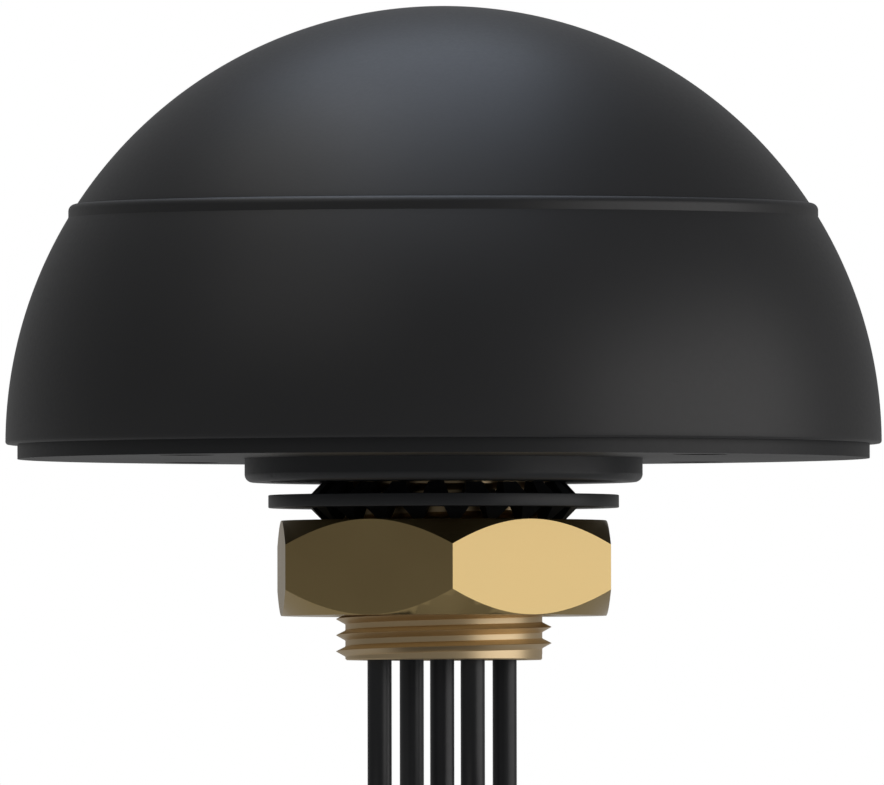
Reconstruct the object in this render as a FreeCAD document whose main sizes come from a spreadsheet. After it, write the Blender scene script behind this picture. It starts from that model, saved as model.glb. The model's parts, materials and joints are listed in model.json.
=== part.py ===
import FreeCAD, Part
import math
import os
import re
import Sketcher

# Roof antenna with five coaxial leads. Millimetres, +Z up, origin on the stud's axis
# in the plane where the mounting gasket meets the roof.

Vector = FreeCAD.Vector
Rotation = FreeCAD.Rotation
Placement = FreeCAD.Placement

os.makedirs("parts", exist_ok=True)
doc = FreeCAD.newDocument("RoofAntenna")
sheet = doc.addObject("Spreadsheet::Sheet", "Dimensions")

DIMENSIONS = {
    # Dome: two mouldings of one hemisphere that meet in a lap joint
    "dome_radius": 40.7,
    "dome_base": 3.55,
    "dome_wall": 2.4,
    "seam_height": 24.6,
    "bead_height": 1.26,
    "bead_round": 0.65,
    "shoulder_width": 0.65,
    "tongue_thickness": 1.75,
    "tongue_depth": 3.4,
    "lap_clearance": 0.05,
    # Bosses that take the base screws
    "screw_count": 4,
    "screw_inset": 4.9,
    "boss_radius": 3.0,
    "boss_height": 6.6,
    "boss_floor": 1.2,
    "rib_width": 1.6,
    "rib_bite": 0.6,
    # Base plate
    "base_bottom": 2.2,
    "base_top": 6.4,
    "rim_inset": 1.11,
    "spigot_clearance": 0.4,
    "seal_groove_depth": 1.5,
    "seal_groove_bottom": 3.95,
    "seal_groove_width": 2.0,
    "seal_clearance": 0.08,
    "post_inset": 4.0,
    "post_radius": 2.6,
    # Screws, all of one thread
    "thread_radius": 1.25,
    "thread_clearance": 0.05,
    "passage_clearance": 0.2,
    "screw_head_radius": 2.2,
    "screw_head_height": 1.5,
    "screw_drive_flats": 1.5,
    "screw_drive_depth": 0.8,
    "base_screw_grip": 6.0,
    "board_screw_grip": 4.6,
    "counterbore_radius": 2.6,
    "counterbore_depth": 1.8,
    # Hollow stud with a hexagon head in the base plate
    "stud_radius": 10.0,
    "stud_bore": 7.9,
    "stud_bottom": -16.5,
    "stud_thread_depth": 0.92,
    "stud_pilot_length": 0.6,
    "stud_lead_in": 0.5,
    "stud_hole_clearance": 0.3,
    "head_flats": 27.0,
    "head_height": 3.4,
    "head_seat": 4.4,
    "head_clearance": 0.1,
    # Mounting gasket
    "gasket_radius": 18.49,
    "gasket_round": 0.75,
    # Washer with a crown of teeth on each face
    "washer_radius": 16.29,
    "washer_bore_clearance": 0.35,
    "crown_land": 0.91,
    "crown_height": 1.18,
    "washer_thickness": 1.19,
    "tooth_count": 20,
    "notch_width": 2.5,
    "notch_overshoot": 0.3,
    "washer_turn": 5.6,
    # Hexagon nut
    "nut_flats": 30.2,
    "nut_height": 8.85,
    "nut_turn": 2.73,
    "nut_countersink": 0.6,
    "nut_thread_clearance": 0.05,
    # Coaxial leads and their passage through the stud
    "lead_radius": 1.125,
    "lead_clearance": 0.05,
    "lead_margin": 0.315,
    "lead_turn": 26.0,
    "lead_shift": -0.16,
    "seal_recess": 2.0,
    "seal_length": 6.0,
    # Ground board on its posts
    "board_clearance": 0.4,
    "board_bottom": 10.0,
    "board_thickness": 1.6,
    "board_window_radius": 9.5,
    # Printed radiators that stand on the ground board
    "blade_thickness": 1.0,
    "tab_half_width": 2.5,
    "tab_depth": 1.3,
    "tab_clearance": 0.1,
    "foot_half_width": 5.0,
    "foot_height": 4.4,
    "feed_height": 2.2,
    "feed_bend": 3.0,
    "low_band_inset": 8.0,
    "low_band_half_width": 17.5,
    "low_band_shoulder": 10.0,
    "low_band_clearance": 2.75,
    "low_band_flare": 14.0,
    "low_band_corner": 3.0,
    "slit_half_width": 1.5,
    "slit_bottom": 8.0,
    "high_band_inset": 4.0,
    "high_band_half_width": 11.5,
    "high_band_shoulder": 8.0,
    "high_band_clearance": 5.1,
    "high_band_flare": 9.0,
    "high_band_corner": 2.5,
    # Satellite receiver on its folded bracket
    "bracket_end_inset": 1.5,
    "bracket_side_inset": 2.0,
    "bracket_foot": 4.5,
    "bracket_sheet": 0.8,
    "bracket_fold": 1.6,
    "window_end_margin": 2.0,
    "window_side_margin": 3.8,
    "leg_window_half_width": 6.0,
    "leg_window_height": 12.0,
    "gnss_board_side": 30.0,
    "gnss_board_thickness": 1.0,
    "patch_side": 25.0,
    "patch_thickness": 4.0,
    "patch_clearance": 1.2,
    "shield_length": 18.0,
    "shield_width": 15.6,
    "shield_height": 2.6,
    "shield_wall": 0.3,
    "feed_pin_radius": 0.5,
    "feed_pin_head_radius": 1.1,
    "feed_pin_head_height": 0.4,
    "feed_pin_clearance": 0.05,
    "feed_pin_tail": 0.6,
    "gnss_lead_gap": 2.1,
    "gnss_lead_rise": 7.0,
    # Coil that the free length of the leads is wound into
    "coil_drop": 68.0,
    "coil_inner_radius": 12.95,
    "coil_outer_radius": 22.15,
    "coil_half_width": 11.8,
    "coil_round": 1.1,
    "tie_thickness": 1.0,
    "tie_width": 2.6,
    "tie_clearance": 0.1,
    "tie_head_height": 2.6,
    "tie_head_half_length": 2.4,
    "tie_head_width": 4.4,
    "tie_start": 150.0,
    "tie_spread": 95.0,
    # Coaxial plugs on the ends of the leads
    "plug_flats": 8.0,
    "plug_nut_length": 7.5,
    "plug_nut_bore": 3.2,
    "plug_nut_shoulder": 2.0,
    "plug_nut_chamfer": 0.5,
    "plug_running_clearance": 0.2,
    "plug_neck_radius": 2.4,
    "plug_flange_radius": 2.95,
    "plug_flange_bottom": 3.6,
    "plug_flange_length": 1.6,
    "plug_barrel_radius": 2.3,
    "plug_barrel_bottom": 1.6,
    "plug_body_radius": 3.4,
    "plug_body_bottom": 8.0,
    "plug_length": 11.0,
    "plug_cavity_radius": 2.0,
    "plug_cavity_top": 9.0,
    "contact_radius": 0.45,
    "contact_bottom": 0.8,
    "insulator_bottom": 2.2,
    "plug_fit_clearance": 0.05,
    "ferrule_radius": 1.85,
    "ferrule_length": 7.0,
    "sleeve_wall": 0.45,
    "sleeve_overlap": 5.0,
    "sleeve_length": 9.0,
}

for row, (alias, number) in enumerate(DIMENSIONS.items(), start=1):
    sheet.set(f"A{row}", alias.replace("_", " "))
    sheet.set(f"B{row}", str(number))
    sheet.setAlias(f"B{row}", alias)
doc.recompute()

# Places that follow from the driving dimensions, written as sheet expressions
BEAD_RADIUS = "sqrt(dome_radius^2 - (seam_height - dome_base)^2)"
BEAD_TOP = "(seam_height + bead_height)"
CAP_EDGE = f"sqrt(dome_radius^2 - ({BEAD_TOP} - dome_base)^2)"
LAP_RADIUS = f"({CAP_EDGE} - shoulder_width)"
INNER_RADIUS = "(dome_radius - dome_wall)"
LAP_FOOT = f"(dome_base + sqrt({INNER_RADIUS}^2 - {LAP_RADIUS}^2))"
TONGUE_OUTER = f"({LAP_RADIUS} - lap_clearance)"
TONGUE_INNER = f"({TONGUE_OUTER} - tongue_thickness)"
TONGUE_TOP = f"(dome_base + sqrt({INNER_RADIUS}^2 - {TONGUE_INNER}^2))"
SPIGOT_RADIUS = f"({INNER_RADIUS} - spigot_clearance)"
RIM_RADIUS = "(dome_radius - rim_inset)"
SCREW_CIRCLE = f"({INNER_RADIUS} - screw_inset)"
BOARD_RADIUS = f"({SCREW_CIRCLE} - boss_radius - board_clearance)"
POST_CIRCLE = f"({BOARD_RADIUS} - post_inset)"
STUD_HOLE = "(stud_radius + stud_hole_clearance)"
PILOT_RADIUS = "(stud_radius - stud_thread_depth)"
PILOT_HOLE = "(thread_radius + thread_clearance)"
PASSAGE_HOLE = "(thread_radius + passage_clearance)"
BOARD_TOP = "(board_bottom + board_thickness)"
WASHER_BORE = "(stud_radius + washer_bore_clearance)"
CROWN_TIP = f"({WASHER_BORE} + crown_land)"
WASHER_TOP = "(-crown_height)"
WASHER_BOTTOM = "(-crown_height - washer_thickness)"
CROWN_FOOT = "(-2 * crown_height - washer_thickness)"
NUT_TOP = CROWN_FOOT
NUT_BOTTOM = f"({NUT_TOP} - nut_height)"
SEAL_BOTTOM = "(stud_bottom + seal_recess)"
LEAD_CIRCLE = "(stud_bore - lead_radius - lead_margin)"
PATCH_TOP = (f"(dome_base + sqrt(({INNER_RADIUS} - patch_clearance)^2"
             " - patch_side^2 / 2))")
GNSS_BOARD_TOP = f"({PATCH_TOP} - patch_thickness)"
BRACKET_TOP = f"({GNSS_BOARD_TOP} - gnss_board_thickness)"
BRACKET_SPAN = "(gnss_board_side / 2 - bracket_end_inset)"
BRACKET_DEPTH = "(gnss_board_side / 2 - bracket_side_inset)"
BAND_OFFSET = {band: f"({POST_CIRCLE} - {band}_inset)" for band in ("low_band", "high_band")}
# A blade's upper corners clear the dome
BAND_TOP = {band: f"(dome_base + sqrt(({INNER_RADIUS} - {band}_clearance)^2"
            f" - ({band}_half_width - {band}_corner)^2"
            f" - ({BAND_OFFSET[band]} + blade_thickness / 2)^2))"
            for band in ("low_band", "high_band")}

# Share of the shorter run that a route's arc takes up
ARC_SHARE = 0.45

# Leads from left to right as seen from -Y: which corner of the stud's five-hole pattern
# each one uses, the points of its hang, and the points of its tail from coil to plug
LEAD_CORNERS = {1: 2, 2: 1, 3: None, 4: 3, 5: 0}
HANG_POINTS = {
    1: [(-24.2, 0.0, 0.0), (-36.0, 0.0, -3.1), (-42.6, 2.9, -3.1), (-46.2, 7.3, -3.1)],
    2: [(-24.2, 0.0, 0.0), (-36.4, 0.0, 2.4), (-42.4, 2.2, 2.4), (-46.6, 6.4, 2.4)],
    3: [(-24.2, 0.0, 0.0), (-36.7, 0.0, -1.2), (-42.7, 1.6, -1.2), (-47.1, 5.5, -1.2)],
    4: [(-24.2, 0.0, 0.0), (-36.8, 0.0, -4.8), (-43.0, 1.2, -4.8), (-47.7, 4.6, -4.8)],
    5: [(-24.2, 0.0, 0.0), (-36.6, 0.0, 0.7), (-43.6, 0.9, 0.7), (-48.6, 3.8, 0.7)],
}
TAIL_POINTS = {
    1: [(10.5, -3.5, -87.5), (8.6, -4.3, -92.2), (8.1, -5.9, -101.0), (8.1, -6.0, -110.6),
        (8.1, -6.0, -121.0)],
    2: [(19.4, 10.6, -78.7), (19.1, 11.1, -89.4), (19.3, 11.9, -100.2), (19.3, 12.0, -111.2),
        (19.3, 12.0, -122.2)],
    3: [(19.4, 1.2, -78.7), (19.2, 0.7, -89.0), (19.3, 0.1, -99.2), (19.3, 0.0, -109.4),
        (19.3, 0.0, -119.4)],
    4: [(19.4, -8.2, -78.7), (19.1, -9.6, -89.8), (19.3, -11.9, -101.2), (19.3, -12.0, -112.2),
        (19.3, -12.0, -123.0)],
    5: [(10.5, 5.9, -87.5), (8.7, 5.8, -92.4), (8.1, 6.1, -101.4), (8.1, 6.0, -111.0),
        (8.1, 6.0, -121.6)],
}
LEAD_NUMBERS = sorted(HANG_POINTS)

nodes = []


def bound(text):
    """The sheet expression for a text of plain aliases."""
    return re.sub(r"[a-z]\w+", lambda word: f"Dimensions.{word.group()}"
                  if word.group() in DIMENSIONS else word.group(), text)


def size(text):
    """The number that such a text stands for."""
    return float(sheet.evalExpression(bound(text)))


def keep(item, label):
    """Mark an object as a finished sub-part."""
    item.Label = label
    nodes.append(item)
    return item


def new_body(name, several=False):
    body = doc.addObject("PartDesign::Body", name)
    body.AllowCompound = several
    return body


def origin_feature(body, role):
    return next(item for item in body.Origin.OriginFeatures if item.Role == role)


def new_sketch(body, name, plane, lift=None, turn=None):
    """An empty sketch on one of the body's own origin planes."""
    sketch = body.newObject("Sketcher::SketchObject", name)
    sketch.AttachmentSupport = [(origin_feature(body, plane), "")]
    sketch.MapMode = "FlatFace"
    if lift:
        sketch.setExpression("AttachmentOffset.Base.z", bound(lift))
    if turn:
        sketch.AttachmentOffset = Placement(Vector(), Rotation(Vector(0, 1, 0), 1))
        sketch.setExpression("AttachmentOffset.Rotation.Angle", bound(turn))
    return sketch


def drive(sketch, kind, texts_and_points):
    """Bind one distance constraint to a sheet expression."""
    text, *where = texts_and_points
    index = sketch.addConstraint(Sketcher.Constraint(kind, *where, size(text)))
    sketch.setExpression(f"Constraints[{index}]", bound(text))


def fix_point(sketch, edge, end, corner):
    """Hold a point at an (x, y) pair of expressions."""
    for kind, axis, text in (("DistanceX", -2, corner[0]), ("DistanceY", -1, corner[1])):
        if text == "0":
            sketch.addConstraint(Sketcher.Constraint("PointOnObject", edge, end, axis))
        else:
            drive(sketch, kind, (text, -1, 1, edge, end))


def arc_between(start, finish, radius, side):
    """The short arc from start to finish with its centre on the given side of the way."""
    chord = finish - start
    normal = Vector(-chord.y, chord.x, 0).normalize() * (1 if side == "left" else -1)
    centre = (start + finish) / 2 + normal * math.sqrt(radius ** 2 - (chord.Length / 2) ** 2)
    first, last = (start, finish) if side == "left" else (finish, start)
    angles = [math.atan2(point.y - centre.y, point.x - centre.x) for point in (first, last)]
    return Part.ArcOfCircle(Part.Circle(centre, Vector(0, 0, 1), radius), *angles)


def outline(sketch, corners):
    """Closed outline. A corner is (x, y), or (x, y, radius, side) where an arc leaves it."""
    points = [Vector(size(corner[0]), size(corner[1]), 0) for corner in corners]
    first_edge = sketch.GeometryCount
    ends = []
    for index, corner in enumerate(corners):
        start, finish = points[index], points[(index + 1) % len(points)]
        if len(corner) == 2:
            sketch.addGeometry(Part.LineSegment(start, finish))
            ends.append((1, 2))
        else:
            sketch.addGeometry(arc_between(start, finish, size(corner[2]), corner[3]))
            ends.append((1, 2) if corner[3] == "left" else (2, 1))
    for index, corner in enumerate(corners):
        edge, following = first_edge + index, first_edge + (index + 1) % len(corners)
        joint = (edge, ends[index][1], following, ends[(index + 1) % len(corners)][0])
        sketch.addConstraint(Sketcher.Constraint("Coincident", *joint))
        fix_point(sketch, edge, ends[index][0], corner)
        if len(corner) > 2:
            drive(sketch, "Radius", (corner[2], edge))


def circle(sketch, radius, x="0", y="0"):
    centre = Vector(size(x), size(y), 0)
    edge = sketch.addGeometry(Part.Circle(centre, Vector(0, 0, 1), size(radius)))
    fix_point(sketch, edge, 3, (x, y))
    drive(sketch, "Radius", (radius, edge))


def hexagon(sketch, flats):
    """Regular hexagon with two corners on the sketch's vertical axis."""
    tall, low, half = f"({flats}) / sqrt(3)", f"({flats}) / sqrt(12)", f"({flats}) / 2"
    outline(sketch, [("0", tall), (f"-{half}", low), (f"-{half}", f"-{low}"),
                     ("0", f"-{tall}"), (half, f"-{low}"), (half, low)])


def rectangle(sketch, left, right, bottom, top):
    outline(sketch, [(left, bottom), (right, bottom), (right, top), (left, top)])


def extrude(kind, body, sketch, length, reverse=False, both_ways=False):
    """A Pad or Pocket of a sketch."""
    feature = body.newObject(f"PartDesign::{kind}", f"{sketch.Name}_{kind}")
    feature.Profile = sketch
    feature.setExpression("Length", bound(length))
    feature.Reversed = reverse
    feature.Midplane = both_ways
    return feature


def turn_about(kind, body, sketch):
    """A Revolution or Groove of a sketch about the body's Z axis."""
    feature = body.newObject(f"PartDesign::{kind}", f"{sketch.Name}_{kind}")
    feature.Profile = sketch
    feature.ReferenceAxis = (sketch, ["V_Axis"])
    feature.Angle = 360
    return feature


def repeat_round(body, features, count, angle="360"):
    """Polar pattern of features about the body's Z axis."""
    pattern = body.newObject("PartDesign::PolarPattern", f"{features[0].Name}_pattern")
    pattern.Originals = features
    pattern.Axis = (origin_feature(body, "Z_Axis"), [""])
    pattern.setExpression("Angle", bound(angle))
    pattern.setExpression("Occurrences", bound(count))
    body.Tip = pattern
    return pattern


def place(item, x="0", y="0", z="0", turn="0"):
    """Bind an upright object's place and its turn about Z."""
    item.Placement = Placement(Vector(), Rotation(Vector(0, 0, 1), 1))
    for path, text in (("Base.x", x), ("Base.y", y), ("Base.z", z), ("Rotation.Angle", turn)):
        item.setExpression(f"Placement.{path}", bound(text))


def turned_piece(name, corners, place_at=None):
    """A sub-part that is one revolved outline."""
    body = new_body(name)
    sketch = new_sketch(body, f"{name}_profile", "XZ_Plane")
    outline(sketch, corners)
    turn_about("Revolution", body, sketch)
    if place_at:
        place(body, *place_at)
    return keep(body, name)


def dome_cap():
    turned_piece("dome_cap", [
        (CAP_EDGE, BEAD_TOP, "dome_radius", "left"),
        ("0", "dome_base + dome_radius"),
        ("0", f"dome_base + {INNER_RADIUS}", INNER_RADIUS, "right"),
        (TONGUE_INNER, TONGUE_TOP),
        (TONGUE_INNER, f"{BEAD_TOP} - tongue_depth"),
        (TONGUE_OUTER, f"{BEAD_TOP} - tongue_depth"),
        (TONGUE_OUTER, BEAD_TOP),
    ])


def dome_skirt():
    body = new_body("dome_skirt")
    shell = new_sketch(body, "skirt_shell", "XZ_Plane")
    outline(shell, [
        ("dome_radius", "dome_base", "dome_radius", "left"),
        (BEAD_RADIUS, "seam_height"),
        (BEAD_RADIUS, f"{BEAD_TOP} - bead_round", "bead_round", "left"),
        (f"{BEAD_RADIUS} - bead_round", BEAD_TOP),
        (LAP_RADIUS, BEAD_TOP),
        (LAP_RADIUS, LAP_FOOT, INNER_RADIUS, "right"),
        (INNER_RADIUS, "dome_base"),
    ])
    turn_about("Revolution", body, shell)
    rib = new_sketch(body, "skirt_rib", "XY_Plane", lift="base_top")
    rectangle(rib, f"{SCREW_CIRCLE} + boss_radius - rib_bite", f"{INNER_RADIUS} + rib_bite",
              "-rib_width / 2", "rib_width / 2")
    rib_pad = extrude("Pad", body, rib, "boss_height")
    boss = new_sketch(body, "skirt_boss", "XY_Plane", lift="base_top")
    circle(boss, "boss_radius", x=SCREW_CIRCLE)
    boss_pad = extrude("Pad", body, boss, "boss_height")
    pilot = new_sketch(body, "skirt_pilot", "XY_Plane", lift="base_top")
    circle(pilot, PILOT_HOLE, x=SCREW_CIRCLE)
    pilot_cut = extrude("Pocket", body, pilot, "boss_height - boss_floor", reverse=True)
    repeat_round(body, [rib_pad, boss_pad, pilot_cut], "screw_count")
    place(body, turn="45")
    keep(body, "dome_skirt")


def base_plate():
    body = new_body("base_plate")
    disc = new_sketch(body, "base_disc", "XZ_Plane")
    groove_top = "seal_groove_bottom + seal_groove_width"
    outline(disc, [
        (STUD_HOLE, "base_bottom"),
        (RIM_RADIUS, "base_bottom"),
        (RIM_RADIUS, "dome_base"),
        (SPIGOT_RADIUS, "dome_base"),
        (SPIGOT_RADIUS, "seal_groove_bottom"),
        (f"{SPIGOT_RADIUS} - seal_groove_depth", "seal_groove_bottom"),
        (f"{SPIGOT_RADIUS} - seal_groove_depth", groove_top),
        (SPIGOT_RADIUS, groove_top),
        (SPIGOT_RADIUS, "base_top"),
        (STUD_HOLE, "base_top"),
    ])
    turn_about("Revolution", body, disc)
    head = new_sketch(body, "base_head_pocket", "XY_Plane", lift="base_top")
    hexagon(head, "head_flats + 2 * head_clearance")
    extrude("Pocket", body, head, "base_top - head_seat")
    post = new_sketch(body, "base_post", "XY_Plane", lift="base_top")
    circle(post, "post_radius", x=POST_CIRCLE)
    post_pad = extrude("Pad", body, post, "board_bottom - base_top")
    pilot = new_sketch(body, "base_post_pilot", "XY_Plane", lift="board_bottom")
    circle(pilot, PILOT_HOLE, x=POST_CIRCLE)
    pilot_cut = extrude("Pocket", body, pilot, "board_screw_grip")
    repeat_round(body, [post_pad, pilot_cut], "screw_count")
    passage = new_sketch(body, "base_passage", "XY_Plane", lift="base_top")
    hole_place = (f"{SCREW_CIRCLE} * cos(45)", f"{SCREW_CIRCLE} * sin(45)")
    circle(passage, PASSAGE_HOLE, *hole_place)
    passage_cut = extrude("Pocket", body, passage, "base_top - base_bottom")
    bore = new_sketch(body, "base_counterbore", "XY_Plane", lift="base_bottom")
    circle(bore, "counterbore_radius", *hole_place)
    bore_cut = extrude("Pocket", body, bore, "counterbore_depth", reverse=True)
    repeat_round(body, [passage_cut, bore_cut], "screw_count")
    keep(body, "base_plate")


def base_seal():
    ring = doc.addObject("Part::Torus", "base_seal")
    groove_floor = f"({SPIGOT_RADIUS} - seal_groove_depth)"
    ring.setExpression("Radius1", bound(f"({INNER_RADIUS} + {groove_floor}) / 2"))
    ring.setExpression("Radius2", bound(f"({INNER_RADIUS} - {groove_floor}) / 2"
                                        " - seal_clearance"))
    place(ring, z="seal_groove_bottom + seal_groove_width / 2")
    keep(ring, "base_seal")


def screw_group(name, circle_radius, head_plane, grip, up, turn):
    """Four pan-head screws. The head lies on the side that the screw is driven from."""
    body = new_body(name, several=True)
    head = new_sketch(body, f"{name}_head", "XY_Plane", lift=head_plane)
    circle(head, "screw_head_radius", x=circle_radius)
    head_pad = extrude("Pad", body, head, "screw_head_height", reverse=up)
    shank = new_sketch(body, f"{name}_shank", "XY_Plane", lift=head_plane)
    circle(shank, "thread_radius", x=circle_radius)
    shank_pad = extrude("Pad", body, shank, grip, reverse=not up)
    side = "-1" if up else "1"
    drive_plane = f"{head_plane} + {side} * screw_head_height"
    recess = new_sketch(body, f"{name}_drive", "XY_Plane", lift=drive_plane)
    across = "screw_drive_flats / 2"
    rectangle(recess, f"{circle_radius} - {across}", f"{circle_radius} + {across}",
              f"-{across}", across)
    recess_cut = extrude("Pocket", body, recess, "screw_drive_depth", reverse=up)
    repeat_round(body, [head_pad, shank_pad, recess_cut], "screw_count")
    place(body, turn=turn)
    keep(body, name)


def threaded_stud():
    body = new_body("threaded_stud")
    shank = new_sketch(body, "stud_shank", "XZ_Plane")
    thread_end = "stud_bottom + stud_pilot_length"
    outline(shank, [
        ("stud_bore", "stud_bottom"),
        (PILOT_RADIUS, "stud_bottom"),
        (PILOT_RADIUS, thread_end),
        ("stud_radius", f"{thread_end} + stud_lead_in"),
        ("stud_radius", "head_seat"),
        ("stud_bore", "head_seat"),
    ])
    turn_about("Revolution", body, shank)
    head = new_sketch(body, "stud_head", "XY_Plane", lift="head_seat")
    hexagon(head, "head_flats")
    circle(head, "stud_bore")
    extrude("Pad", body, head, "head_height")
    keep(body, "threaded_stud")


def mounting_gasket():
    turned_piece("mounting_gasket", [
        (STUD_HOLE, "0"),
        ("gasket_radius - gasket_round", "0", "gasket_round", "left"),
        ("gasket_radius", "gasket_round"),
        ("gasket_radius", "base_bottom"),
        (STUD_HOLE, "base_bottom"),
    ])


def toothed_washer():
    body = new_body("toothed_washer")
    crown_root = f"{CROWN_TIP} + crown_height"
    ring = new_sketch(body, "washer_ring", "XZ_Plane")
    outline(ring, [
        (WASHER_BORE, "0"),
        (WASHER_BORE, CROWN_FOOT),
        (CROWN_TIP, CROWN_FOOT, "crown_height", "right"),
        (crown_root, WASHER_BOTTOM),
        ("washer_radius", WASHER_BOTTOM),
        ("washer_radius", WASHER_TOP),
        (crown_root, WASHER_TOP, "crown_height", "right"),
        (CROWN_TIP, "0"),
    ])
    turn_about("Revolution", body, ring)
    # V notches part the upper crown into teeth, and the lower crown half a pitch further on
    wide = "(notch_width / 2) * (crown_height + notch_overshoot) / crown_height"
    upper = new_sketch(body, "upper_notch", "XZ_Plane")
    outline(upper, [("0", WASHER_TOP), (wide, "notch_overshoot"), (f"-{wide}", "notch_overshoot")])
    upper_cut = extrude("Pocket", body, upper, "washer_radius", reverse=True)
    repeat_round(body, [upper_cut], "tooth_count")
    lower = new_sketch(body, "lower_notch", "XZ_Plane", turn="180 / tooth_count")
    below = f"{CROWN_FOOT} - notch_overshoot"
    outline(lower, [("0", WASHER_BOTTOM), (f"-{wide}", below), (wide, below)])
    lower_cut = extrude("Pocket", body, lower, "washer_radius", reverse=True)
    repeat_round(body, [lower_cut], "tooth_count")
    place(body, turn="washer_turn")
    keep(body, "toothed_washer")


def cone_cut(body, name, start_radius, face, away, reach):
    """Groove that takes a 45 degree cone off the corners, from a face outward."""
    sketch = new_sketch(body, name, "XZ_Plane")
    outer = f"{start_radius} + {reach}"
    outline(sketch, [
        (start_radius, face),
        (outer, f"{face} - ({away}) * {reach}"),
        (outer, f"{face} + ({away}) * {reach}"),
        (start_radius, f"{face} + ({away}) * {reach}"),
    ])
    turn_about("Groove", body, sketch)


def hex_nut():
    body = new_body("hex_nut")
    block = new_sketch(body, "nut_block", "XY_Plane", lift=NUT_BOTTOM)
    hexagon(block, "nut_flats")
    extrude("Pad", body, block, "nut_height")
    reach = "(nut_flats / 10)"
    cone_cut(body, "nut_upper_cone", "nut_flats / 2", NUT_TOP, "1", reach)
    cone_cut(body, "nut_lower_cone", "nut_flats / 2", NUT_BOTTOM, "-1", reach)
    bore = "(stud_radius + nut_thread_clearance)"
    mouth = f"{bore} + nut_countersink"
    hole = new_sketch(body, "nut_bore", "XZ_Plane")
    outline(hole, [
        ("0", NUT_TOP),
        ("0", NUT_BOTTOM),
        (mouth, NUT_BOTTOM),
        (bore, f"{NUT_BOTTOM} + nut_countersink"),
        (bore, f"{NUT_TOP} - nut_countersink"),
        (mouth, NUT_TOP),
    ])
    turn_about("Groove", body, hole)
    place(body, turn="nut_turn")
    keep(body, "hex_nut")


def lead_centre(number):
    """Where a lead passes through the stud, as a pair of expressions."""
    corner = LEAD_CORNERS[number]
    if corner is None:
        return "lead_shift", "0"
    angle = f"(lead_turn + {90 * corner})"
    return f"{LEAD_CIRCLE} * cos({angle}) + lead_shift", f"{LEAD_CIRCLE} * sin({angle})"


def lead_seal():
    body = new_body("lead_seal")
    disc = new_sketch(body, "seal_disc", "XY_Plane", lift=SEAL_BOTTOM)
    circle(disc, "stud_bore - lead_clearance")
    for number in LEAD_NUMBERS:
        circle(disc, "lead_radius + lead_clearance", *lead_centre(number))
    extrude("Pad", body, disc, "seal_length")
    keep(body, "lead_seal")


def ground_board():
    body = new_body("ground_board")
    disc = new_sketch(body, "board_disc", "XY_Plane", lift="board_bottom")
    circle(disc, BOARD_RADIUS)
    circle(disc, "board_window_radius")
    half_slot = "tab_half_width + tab_clearance"
    low, high = BAND_OFFSET["low_band"], BAND_OFFSET["high_band"]
    half_gap = "(blade_thickness / 2 + tab_clearance)"
    rectangle(disc, f"-({half_slot})", half_slot, f"{low} - {half_gap}", f"{low} + {half_gap}")
    rectangle(disc, f"-({half_slot})", half_slot, f"-{low} - {half_gap}", f"-{low} + {half_gap}")
    rectangle(disc, f"{high} - {half_gap}", f"{high} + {half_gap}", f"-({half_slot})", half_slot)
    rectangle(disc, f"-{high} - {half_gap}", f"-{high} + {half_gap}", f"-({half_slot})", half_slot)
    extrude("Pad", body, disc, "board_thickness")
    passage = new_sketch(body, "board_passage", "XY_Plane", lift=BOARD_TOP)
    circle(passage, PASSAGE_HOLE, x=POST_CIRCLE)
    passage_cut = extrude("Pocket", body, passage, "board_thickness")
    repeat_round(body, [passage_cut], "screw_count")
    keep(body, "ground_board")


def mirrored(right_side):
    """Closed outline from the corners of its right half, listed upward."""
    left_side = []
    for index in range(len(right_side) - 1, -1, -1):
        x, y = right_side[index][:2]
        bend = right_side[index - 1][2:] if index else ()
        left_side.append((f"-({x})", y, *bend))
    return right_side + left_side


def radiator(name, plane, band, slit, x="0", y="0"):
    """A printed blade with a tab in the ground board and a foot that flares out."""
    body = new_body(name)
    sketch = new_sketch(body, f"{name}_outline", plane)
    wide, corner = f"{band}_half_width", f"{band}_corner"
    top = BAND_TOP[band]
    half = [
        ("tab_half_width", f"{BOARD_TOP} - tab_depth"),
        ("tab_half_width", BOARD_TOP),
        ("foot_half_width", BOARD_TOP),
        ("foot_half_width", f"{BOARD_TOP} + foot_height", f"{band}_flare", "right"),
        (wide, f"{BOARD_TOP} + {band}_shoulder"),
        (wide, f"{top} - {corner}"),
        (f"{wide} - {corner}", top),
    ]
    if slit:
        half += [("slit_half_width", top), ("slit_half_width", f"{BOARD_TOP} + slit_bottom")]
    outline(sketch, mirrored(half))
    extrude("Pad", body, sketch, "blade_thickness", both_ways=True)
    place(body, x, y)
    keep(body, name)


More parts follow.
